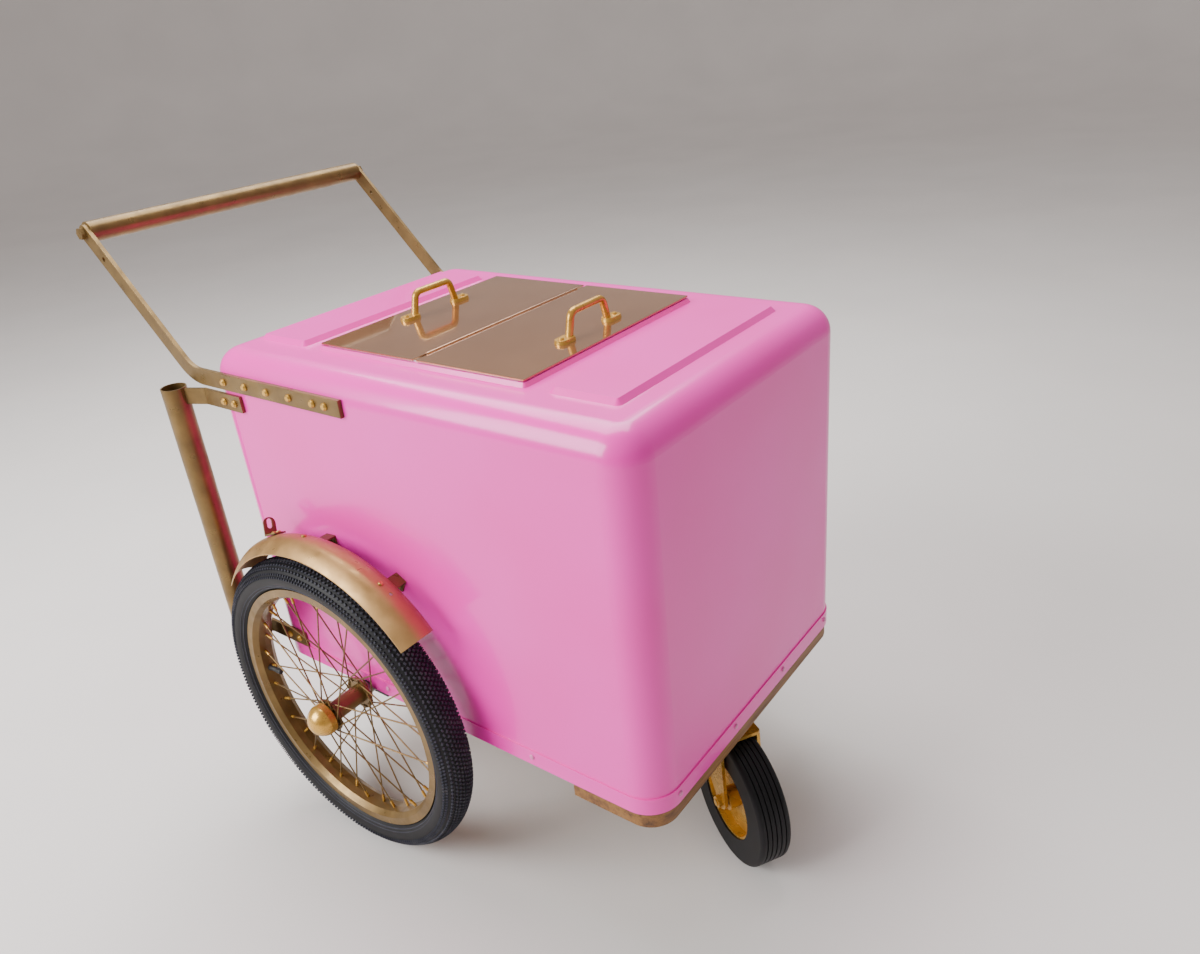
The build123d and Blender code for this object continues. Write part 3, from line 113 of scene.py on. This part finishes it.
def ramp(material, value, stops):
    """Colours or greys set along a value: a list of (place, hex colour)."""
    made = add_node(material, "ShaderNodeValToRGB", inputs={"Fac": value})
    elements = made.color_ramp.elements
    while len(elements) < len(stops):
        elements.new(0.5)
    for element, (place, code) in zip(elements, stops):
        element.position = place
        element.color = linear(code)
    return made.outputs["Color"]


def relief(material, shader, layers):
    """Stack bumps on a shader's normal: a list of (height output, depth in metres, strength)."""
    normal = None
    for height, depth, strength in layers:
        inputs = {"Height": height, "Distance": depth, "Strength": strength}
        if normal:
            inputs["Normal"] = normal
        normal = add_node(material, "ShaderNodeBump", inputs=inputs).outputs["Normal"]
    material.node_tree.links.new(normal, shader.inputs["Normal"])


def feed(material, shader, **links):
    """Link outputs to the shader's sockets by name."""
    for socket, output in links.items():
        material.node_tree.links.new(output, shader.inputs[socket.replace("_", " ")])


# %% [markdown]
# ## Gelcoat
# The body is fibreglass, sprayed pink. Gelcoat is a thick, glossy resin: close up it has orange
# peel, lumps a few millimetres wide and almost no height, and over a hand's breadth the laminate
# under it is slightly wavy, which makes straight reflections wander. Both are bumps. The colour
# barely varies, a few percent, where the spray overlapped.

# %% Gelcoat on the shell
gelcoat, shader = new_material("pink_gelcoat", Roughness=0.28, IOR=1.45, Coat_Weight=0.35,
                               Coat_Roughness=0.1)
overlap = noise(gelcoat, 0.22)
feed(gelcoat, shader, Base_Color=ramp(gelcoat, overlap, [(0.3, "#f72cb2"), (0.7, "#fb36bc")]))
relief(gelcoat, shader, [(noise(gelcoat, 0.16, 1), 0.004, 0.25),
                         (noise(gelcoat, 0.006), 0.00012, 0.35)])

# %% [markdown]
# ## Gold paints
# Everything metal was sprayed with the same can of gold, but it looks different on each part:
# satin on tubes and flats, pale and silky on the mudguards, rougher over the sand-cast caster
# and lid handles, and thick and glossy, almost brown, on the flat lids. Metallic paint is metal
# flakes in lacquer, so the shader is more metal than plastic, with flake noise in its normal.


# %% Satin gold, cast gold and glossy lid gold
def gold_paint(name, light, dark, roughness, lump=0.012, lump_depth=0.0001):
    """Metallic gold paint: two shades that drift, flakes, and the lumps of what is under it."""
    material, shader = new_material(name, Metallic=0.6, Roughness=roughness)
    drift = noise(material, 0.045, 4, 0.6)
    feed(material, shader, Base_Color=ramp(material, drift, [(0.35, dark), (0.65, light)]))
    patchy = ramp(material, noise(material, 0.02, 3), [(0.3, "#5c5c5c"), (0.7, "#7e7e7e")])
    feed(material, shader, Roughness=add_node(material, "ShaderNodeMath", {
        "operation": "MULTIPLY"}, {0: patchy, 1: roughness * 5}).outputs[0])
    relief(material, shader, [(noise(material, lump), lump_depth, 0.6),
                              (noise(material, 0.0009, 1), 0.00002, 0.5)])
    return material


gold_satin = gold_paint("gold_satin_paint", "#81673b", "#6d5631", 0.46)
gold_pale = gold_paint("gold_pale_paint", "#b08b57", "#a5814d", 0.5, lump=0.05, lump_depth=0.0004)
gold_cast = gold_paint("gold_cast_paint", "#d9ab52", "#b98a38", 0.34, lump=0.003, lump_depth=0.0003)

gold_lid, shader = new_material("gold_lid_paint", Metallic=0.75, Roughness=0.14, Coat_Weight=0.8,
                                Coat_Roughness=0.04)
feed(gold_lid, shader, Base_Color=ramp(gold_lid, noise(gold_lid, 0.12, 3),
                                       [(0.3, "#a5734f"), (0.7, "#b38059")]))
relief(gold_lid, shader, [(noise(gold_lid, 0.09, 1), 0.0016, 0.3),
                          (noise(gold_lid, 0.004), 0.00006, 0.4)])

# %% [markdown]
# ## Rubber
# Tyre rubber is carbon black, never quite black, and it greys where dust lies. The tread blocks
# have a lighter, bluish rubber than the casing: a painted sheen of sky light on their tops, with
# some dust; in both the colour drifts along a noise. The caster's tyre is of the casing's rubber.

# %% Tyre rubbers
def tyre_compound(name, stops, roughness):
    """Tyre rubber with its dust: colours along a noise, and a fine grain; the tread's lighter
    colours are a painted sheen.
    """
    material, shader = new_material(name, Roughness=roughness, IOR=1.5, Specular_IOR_Level=0.28)
    dust_and_sheen = noise(material, 0.03, 6, 0.65)
    feed(material, shader, Base_Color=ramp(material, dust_and_sheen, stops))
    relief(material, shader, [(noise(material, 0.0012), 0.0001, 0.5)])
    return material


tyre_rubber = tyre_compound("tyre_casing_rubber", [(0.3, "#0b0b0d"), (0.7, "#141418")], 0.55)
# The tread blocks' lighter bluish greys are a painted sheen of sky light on their tops; the warmer
# grey is dust.
tread_rubber_with_sheen = tyre_compound("tread_block_rubber_and_sheen", [(0.3, "#2c2d36"), (0.55, "#3b3c46"),
                                                    (0.8, "#52504f")], 0.7)

black_rubber, shader = new_material("black_moulded_rubber", Roughness=0.6)
feed(black_rubber, shader, Base_Color=ramp(black_rubber, noise(black_rubber, 0.008, 4),
                                           [(0.3, "#121213"), (0.7, "#262524")]))
relief(black_rubber, shader, [(noise(black_rubber, 0.0015), 0.0001, 0.4)])

# %% [markdown]
# ## Wood, foam and the hidden parts
# The plank that carries the caster was painted gold over its grain, and its edges show more wood
# than paint. The grain runs across the cart, so the noise is stretched along Y: a Mapping node
# squeezes the pattern in the other two directions.


# %% Painted plank, plywood, liner, foam, steel and chassis black
def wood(name, colours, grain_width, roughness):
    """Timber with its grain along Y."""
    material, shader = new_material(name, Roughness=roughness)
    along = add_node(material, "ShaderNodeMapping", inputs={
        "Vector": object_place(material), "Scale": (1, 0.06, 1)}).outputs["Vector"]
    grain = noise(material, grain_width, 6, 0.7, along)
    feed(material, shader, Base_Color=ramp(material, grain, colours))
    relief(material, shader, [(grain, 0.0012, 0.6), (noise(material, 0.0015, 3), 0.0003, 0.4)])
    return material


plank = wood("painted_plank", [(0.3, "#3d2712"), (0.45, "#744d24"), (0.6, "#8d6430"),
                               (0.75, "#5c3a18")], 0.012, 0.55)
plywood = wood("plywood", [(0.3, "#8d6a42"), (0.7, "#b8935f")], 0.009, 0.7)

liner, shader = new_material("white_liner", Roughness=0.25, IOR=1.49)
feed(liner, shader, Base_Color=ramp(liner, noise(liner, 0.08, 4),
                                    [(0.3, "#dfe0dc"), (0.7, "#ecece8")]))
relief(liner, shader, [(noise(liner, 0.02), 0.0004, 0.4)])

foam, shader = new_material("rigid_foam", Roughness=0.9)
feed(foam, shader, Base_Color=ramp(foam, noise(foam, 0.004, 4),
                                   [(0.3, "#c9b274"), (0.7, "#e0cd97")]))
relief(foam, shader, [(noise(foam, 0.003), 0.001, 0.8)])

steel, shader = new_material("zinc_plated_steel", Metallic=1.0, Roughness=0.32)
feed(steel, shader, Base_Color=ramp(steel, noise(steel, 0.01, 5),
                                    [(0.3, "#8f8d86"), (0.7, "#b5b3ab")]))
relief(steel, shader, [(noise(steel, 0.0012), 0.00004, 0.4)])

chassis_black, shader = new_material("chassis_black_paint", Roughness=0.42, IOR=1.5)
feed(chassis_black, shader, Base_Color=ramp(chassis_black, noise(chassis_black, 0.03, 5),
                                            [(0.35, "#131313"), (0.7, "#242220")]))
relief(chassis_black, shader, [(noise(chassis_black, 0.004), 0.0001, 0.5)])

# %% [markdown]
# ## Small screws of two colours
# One CAD node holds all the little dome screws. Those round the skirt were sprayed pink with the
# body, while those on the mudguards are gold. They are told apart by place: anything further out
# than the body's side is gold, and a comparison on the Y coordinate mixes the two paints.

# %% Pink screws on the body, gold ones on the mudguards
BODY_SIDE = 0.275              # metres from the cart's middle; past it a screw is gold
screw_paint, shader = new_material("screw_paint", Roughness=0.3)
across = add_node(screw_paint, "ShaderNodeSeparateXYZ",
                  inputs={"Vector": object_place(screw_paint)})
side = add_node(screw_paint, "ShaderNodeMath", {"operation": "ABSOLUTE"}, {0: across.outputs["Y"]})
on_mudguard = add_node(screw_paint, "ShaderNodeMath", {"operation": "GREATER_THAN"},
                       {0: side.outputs[0], 1: BODY_SIDE}).outputs[0]
two_paints = add_node(screw_paint, "ShaderNodeMix", {"data_type": "RGBA"}, {
    0: on_mudguard,
    6: ramp(screw_paint, noise(screw_paint, 0.003), [(0.3, "#cf6ba3"), (0.7, "#e887bd")]),
    7: ramp(screw_paint, noise(screw_paint, 0.003), [(0.3, "#a8823f"), (0.7, "#d0a863")])})
feed(screw_paint, shader, Base_Color=two_paints.outputs[2], Metallic=on_mudguard)
relief(screw_paint, shader, [(noise(screw_paint, 0.002), 0.0001, 0.5)])

# %% Put a material on every CAD node
slot_finish = {
    "pink_gelcoat": gelcoat, "gold_paint": gold_satin, "gold_lid_paint": gold_lid,
    "gold_cast": gold_cast, "tyre_rubber": tyre_rubber, "black_rubber": black_rubber,
    "painted_plank": plank, "white_liner": liner, "foam": foam, "plywood": plywood,
    "bright_steel": steel, "black_chassis": chassis_black}
for part in frame["record"]["subparts"]:
    material = slot_finish[part["material_slot"]]
    if part["node"] == "body_screws":
        material = screw_paint
    elif part["node"].endswith("_fender"):
        material = gold_pale
    mesh = nodes[part["node"]].data
    mesh.materials.clear()
    mesh.materials.append(material)
print("materials:", len(bpy.data.materials))

# %% [markdown]
# ## Modelling helpers
# Each new piece starts as a primitive and is shaped with the same operators that the menus run.
# An operator works on whatever is selected, and loading the frame leaves its nodes selected, so
# a piece starts by clearing the selection. A finished piece keeps its place in its mesh, with
# its object at the origin, so its patterns stay put.


# %% Helpers for primitives and finished pieces
def clear_selection():
    """Nothing selected, in object mode."""
    if bpy.context.object and bpy.context.object.mode != "OBJECT":
        bpy.ops.object.mode_set(mode="OBJECT")
    bpy.ops.object.select_all(action="DESELECT")


def place_in_mesh(piece):
    """Move an object's place, turn and size into its mesh."""
    clear_selection()
    piece.select_set(True)
    bpy.context.view_layer.objects.active = piece
    bpy.ops.object.transform_apply(location=True, rotation=True, scale=True)


def apply_modifiers(piece):
    """Apply each modifier in turn."""
    clear_selection()
    piece.select_set(True)
    bpy.context.view_layer.objects.active = piece
    for modifier in list(piece.modifiers):
        bpy.ops.object.modifier_apply(modifier=modifier.name)


def joined(pieces, name):
    """Several meshes as one piece."""
    clear_selection()
    for piece in pieces:
        piece.select_set(True)
    bpy.context.view_layer.objects.active = pieces[0]
    bpy.ops.object.join()
    pieces[0].name = name
    pieces[0].data.name = name
    return pieces[0]


def finish_piece(piece, material, body, smooth_angle=40):
    """Smooth, paint and attach a piece; a piece that has its paints already keeps them."""
    place_in_mesh(piece)
    bpy.ops.object.shade_smooth_by_angle(angle=radians(smooth_angle))
    if material:
        piece.data.materials.append(material)
    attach(piece, body)
    triangles = sum(len(face.vertices) - 2 for face in piece.data.polygons)
    print(piece.name, "triangles:", triangles)


def ring_of_copies(piece, count):
    """Copies of a piece in a ring round the world's Y axis, as one mesh."""
    bpy.ops.object.empty_add(rotation=(0, 2 * pi / count, 0))
    turn = bpy.context.object
    modifier = piece.modifiers.new("ring", "ARRAY")
    modifier.count = count
    modifier.use_relative_offset = False
    modifier.use_object_offset = True
    modifier.offset_object = turn
    apply_modifiers(piece)
    bpy.data.objects.remove(turn)


# %% [markdown]
# ## Tyres
# A small bicycle tyre for rough ground has a round casing and a tread of many small blocks in
# rows, with fine bars down each shoulder. The casing is a torus, pressed oval: wider than it is
# tall. One block is a cube with its top drawn in, one per row, and the ring of copies comes from
# an Array modifier turned by an empty at the axle. Every second row is moved half a step, which
# gives the zigzag that such a tread has. The tyre is modelled at the origin and then moved.

# %% Tyre measures, from the CAD tyre's own box
low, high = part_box("right_wheel_tyre")
tyre_radius = (high.z - low.z) / 2
tyre_width = high.y - low.y
rim_low, rim_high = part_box("right_wheel_rim")
rim_radius = (rim_high.z - rim_low.z) / 2
print("tyre radius", round(tyre_radius, 4), "width", round(tyre_width, 4))

TREAD_DEPTH = 2.4 * MM
casing_top = tyre_radius - TREAD_DEPTH
casing_bottom = rim_radius - 4 * MM
casing_middle = (casing_top + casing_bottom) / 2
casing_half = (casing_top - casing_bottom) / 2


def casing_height(offset):
    """How far the casing's skin is from the axle, at an offset from the tyre's middle."""
    return casing_middle + casing_half * (1 - (offset / (tyre_width / 2)) ** 2) ** 0.5


def casing_lean(offset):
    """How far the casing's skin leans over there, in radians."""
    x = offset / (tyre_width / 2)
    return atan2(casing_half * x, tyre_width / 2 * (1 - x * x) ** 0.5)


def tread_block(offset, length, width, step, skew):
    """One tread block on the casing: a cube whose top is drawn in a little."""
    clear_selection()
    lean = casing_lean(offset)
    base = Vector((sin(step) * casing_height(offset), offset, cos(step) * casing_height(offset)))
    bpy.ops.mesh.primitive_cube_add(size=1, location=(0, 0, 0))
    block = bpy.context.object
    bpy.ops.object.mode_set(mode="EDIT")
    bpy.ops.transform.resize(value=(length, width, TREAD_DEPTH * 2))
    bpy.ops.mesh.select_all(action="DESELECT")
    bpy.ops.object.mode_set(mode="OBJECT")
    for face in block.data.polygons:
        face.select = face.normal.z > 0.9
    bpy.ops.object.mode_set(mode="EDIT")
    bpy.ops.transform.resize(value=(0.72, 0.72, 1), center_override=(0, 0, TREAD_DEPTH))
    bpy.ops.object.mode_set(mode="OBJECT")
    turn = (Matrix.Rotation(step, 4, "Y") @ Matrix.Rotation(-lean, 4, "X")
            @ Matrix.Rotation(skew, 4, "Z"))
    block.matrix_world = Matrix.Translation(base) @ turn
    place_in_mesh(block)
    return block


ROWS = 9                       # rows of blocks across the tread
ROW_STEP = 4.9 * MM
BLOCKS_ROUND = 204
BLOCK_SKEW = radians(24)
BARS_ROUND = 240               # fine bars down each shoulder
BAR_WIDTH = 4.2 * MM
BAR_RINGS = ((0.905, 2.6), (0.972, 2.4))        # share of the half width, length in mm
RIM_LINES = ((5.5, 0.9), (9.5, 0.6))            # above the rim and thickness, in mm


def build_tyre(side):
    """A tyre with its casing, tread rows, shoulder bars and rim lines, for one wheel."""
    clear_selection()
    bpy.ops.mesh.primitive_torus_add(major_radius=casing_middle, minor_radius=casing_half,
                                     major_segments=144, minor_segments=32,
                                     rotation=(pi / 2, 0, 0))
    casing = bpy.context.object
    place_in_mesh(casing)
    casing.scale = (1, tyre_width / (2 * casing_half), 1)
    place_in_mesh(casing)
    parts = [casing]
    for row in range(ROWS):
        offset = (row - (ROWS - 1) / 2) * ROW_STEP
        half_step = pi / BLOCKS_ROUND * (row % 2)
        skew = BLOCK_SKEW * (1 if row % 2 else -1)
        block = tread_block(offset, 5.0 * MM, 3.2 * MM, half_step, skew)
        ring_of_copies(block, BLOCKS_ROUND)
        parts.append(block)
    for way in (-1, 1):
        for row, (reach, length) in enumerate(BAR_RINGS):
            bar = tread_block(way * reach * tyre_width / 2, length * MM, BAR_WIDTH,
                              pi / BARS_ROUND * row, 0)
            ring_of_copies(bar, BARS_ROUND)
            parts.append(bar)
        for above, thick in RIM_LINES:
            radius = rim_radius + above * MM
            clear_selection()
            reach = (1 - ((radius - casing_middle) / casing_half) ** 2) ** 0.5
            bpy.ops.mesh.primitive_torus_add(major_radius=radius, minor_radius=thick * MM,
                                             major_segments=120, minor_segments=8,
                                             location=(0, way * reach * tyre_width / 2, 0),
                                             rotation=(pi / 2, 0, 0))
            parts.append(bpy.context.object)
    # The tread, shoulder bars and rim lines take the rubber with the painted sheen; the casing
    # takes the near-black one.
    for part in parts:
        place_in_mesh(part)
        part.data.materials.append(tyre_rubber if part is casing else tread_rubber_with_sheen)
    tyre = joined(parts, f"{side}_tyre_with_tread")
    low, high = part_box(f"{side}_wheel_tyre")
    tyre.location = (low + high) / 2
    finish_piece(tyre, None, f"{side}_wheel")
    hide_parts(f"{side}_wheel_tyre")


# %% Tyres for both wheels
for side in ("right", "left"):
    build_tyre(side)

# %% [markdown]
# ## Valves
# An inner tube's valve comes out through the rim towards the hub: a black rubber stem, thicker
# at its foot, with a knurled plastic cap. It is a cylinder drawn out in steps: each step is an
# extrusion of the end face, made wider or narrower.

# %% A valve on each wheel
VALVE_ANGLE = radians(181)     # where the valve stands round the wheel, from +X
VALVE_FOOT = 19.5 * MM         # from the rim's edge in to the valve's foot
VALVE_STEPS = ((1.5, 0.75), (14, 0.93), (1, 0.8), (0.4, 1.42), (9, 1.0), (1.2, 0.7))


def build_valve(side):
    """A rubber valve stem through the rim, pointing at the hub."""
    clear_selection()
    low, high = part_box(f"{side}_wheel_rim")
    middle = (low + high) / 2
    foot = rim_radius - VALVE_FOOT
    bpy.ops.mesh.primitive_cylinder_add(vertices=20, radius=5.5 * MM, depth=3 * MM)
    stem = bpy.context.object
    bpy.ops.object.mode_set(mode="EDIT")
    bpy.ops.mesh.select_all(action="DESELECT")
    bpy.ops.object.mode_set(mode="OBJECT")
    for face in stem.data.polygons:
        face.select = face.normal.z > 0.9
    bpy.ops.object.mode_set(mode="EDIT")
    top = 1.5 * MM
    for rise, grow in VALVE_STEPS:     # millimetres drawn out, then the end face's scale
        bpy.ops.mesh.extrude_region_move(TRANSFORM_OT_translate={"value": (0, 0, rise * MM)})
        top += rise * MM
        bpy.ops.transform.resize(value=(grow, grow, 1), center_override=(0, 0, top))
    bpy.ops.object.mode_set(mode="OBJECT")
    way = Vector((cos(VALVE_ANGLE), 0, sin(VALVE_ANGLE)))
    stem.matrix_world = Matrix.Translation(middle + way * foot) @ \
        (-way).to_track_quat("Z", "Y").to_matrix().to_4x4()
    bevel = stem.modifiers.new("soft edges", "BEVEL")
    bevel.width = 0.4 * MM
    bevel.segments = 2
    apply_modifiers(stem)
    stem.name = f"{side}_valve"
    finish_piece(stem, black_rubber, f"{side}_wheel")


for side in ("right", "left"):
    build_valve(side)

# %% [markdown]
# ## Floor, light and camera
# A pale seamless floor and soft light keep the eye on the cart. The floor is a wide dish whose
# rim curves up like a studio sweep, so no horizon shows. The near side is the brighter one, so
# the large soft light stands on that side, high up, and a second one over the lids fills from
# behind. The camera stands where a person would, two steps away, looking down.

# %% Floor and soft lights
clear_selection()
bpy.ops.mesh.primitive_circle_add(vertices=96, radius=11, fill_type="NOTHING", location=(0, 0, 5))
bpy.ops.object.mode_set(mode="EDIT")
for drop, spread in ((-2.6, 1.0), (-1.3, 0.98), (-0.7, 0.94), (-0.3, 0.9), (-0.1, 0.86)):
    bpy.ops.mesh.extrude_edges_move(TRANSFORM_OT_translate={"value": (0, 0, drop)})
    bpy.ops.transform.resize(value=(spread, spread, 1))
bpy.ops.mesh.edge_face_add()
bpy.ops.object.mode_set(mode="OBJECT")
floor = bpy.context.object
floor.name = "studio_floor"
place_in_mesh(floor)
bpy.ops.object.shade_smooth_by_angle(angle=radians(50))
floor_finish, shader = new_material("pale_floor", Roughness=0.85)
feed(floor_finish, shader, Base_Color=ramp(floor_finish, noise(floor_finish, 0.6, 3),
                                           [(0.3, "#d9d5d2"), (0.7, "#dedad7")]))
floor.data.materials.append(floor_finish)

world = bpy.data.worlds.new("soft_studio")
bpy.context.scene.world = world
world.use_nodes = True
world.node_tree.nodes["Background"].inputs["Color"].default_value = linear("#e6dfdd")
world.node_tree.nodes["Background"].inputs["Strength"].default_value = 0.72


def soft_light(name, place, target, size, power):
    """A square area light facing a point."""
    clear_selection()
    bpy.ops.object.light_add(type="AREA", location=place)
    lamp = bpy.context.object
    lamp.name = name
    lamp.rotation_euler = (Vector(target) - Vector(place)).to_track_quat("-Z", "Y").to_euler()
    lamp.data.size = size
    lamp.data.energy = power


soft_light("window_side", (-1.6, -3.0, 2.4), (0, 0, 0.5), 2.4, 235)
soft_light("overhead", (-0.8, 0.8, 3.0), (0, 0, 0.7), 2.4, 135)

# %% Camera at the viewing place
camera_place = Vector((0.9761, -0.9578, 1.1705))
yaw, pitch, roll = radians(38.7), radians(-26.09), radians(-5.71)
ahead = Vector((-sin(yaw) * cos(pitch), cos(yaw) * cos(pitch), sin(pitch)))
level_right = ahead.cross(Vector((0, 0, 1))).normalized()
level_up = level_right.cross(ahead)
right = level_right * cos(roll) + level_up * sin(roll)
up = level_up * cos(roll) - level_right * sin(roll)
turn = Matrix((right, up, -ahead)).transposed().to_4x4()
clear_selection()
bpy.ops.object.camera_add()
camera = bpy.context.object
camera.matrix_world = Matrix.Translation(camera_place) @ turn
camera.data.sensor_width = 36.0
camera.data.lens = 28.25
camera.data.clip_start = 0.02
bpy.context.scene.camera = camera
